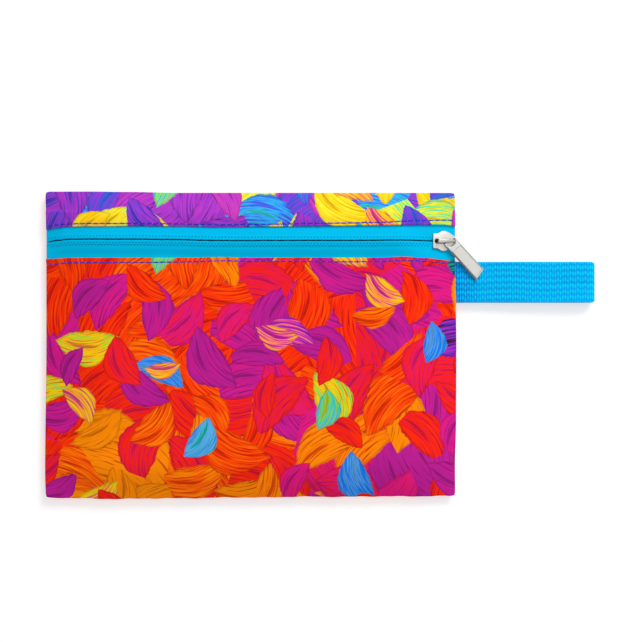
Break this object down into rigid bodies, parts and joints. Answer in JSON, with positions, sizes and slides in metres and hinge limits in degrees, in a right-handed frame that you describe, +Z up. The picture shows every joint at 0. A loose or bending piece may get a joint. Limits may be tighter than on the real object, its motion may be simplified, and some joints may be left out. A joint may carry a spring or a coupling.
{
  "type": "zip pouch of a foldable duffel bag",
  "caption": "Flat rectangular zip pouch in printed cloth with a front zip, a metal slider and pull, and a folded webbing wrist strap at the side.",
  "frame": {"origin": "on the table, under the middle of the whole outline", "axes": "+X along the zip towards the wrist strap, +Y from the pouch's foot towards its zip, +Z up out of the printed front"},
  "size_m": [0.335, 0.1854, 0.014],
  "materials": {
    "printed_cloth": "plain-woven polyester with an all-over painterly print, matt",
    "zip_tape": "fine woven cyan zip tape, slight sheen",
    "zip_coil": "dark blue nylon coil",
    "satin_nickel": "cast zinc with a pale satin nickel plating",
    "webbing": "ribbed woven blue webbing"
  },
  "bodies": {
    "pouch": {"back_panel": "printed_cloth", "front_panel_upper": "printed_cloth", "front_panel_lower": "printed_cloth", "zip_tape_upper": "zip_tape", "zip_tape_lower": "zip_tape", "zip_coil": "zip_coil", "zip_slider": "satin_nickel", "wrist_strap": "webbing"},
    "pull": {"zip_pull": "satin_nickel"}
  },
  "joints": [
    {"name": "pull_hinge", "type": "hinge", "parent": "pouch", "child": "pull", "pos_m": [0.07846, 0.06337, 0.00944], "axis": [-0.7202, -0.6756, 0.158], "range_deg": [0, 100]}
  ]
}
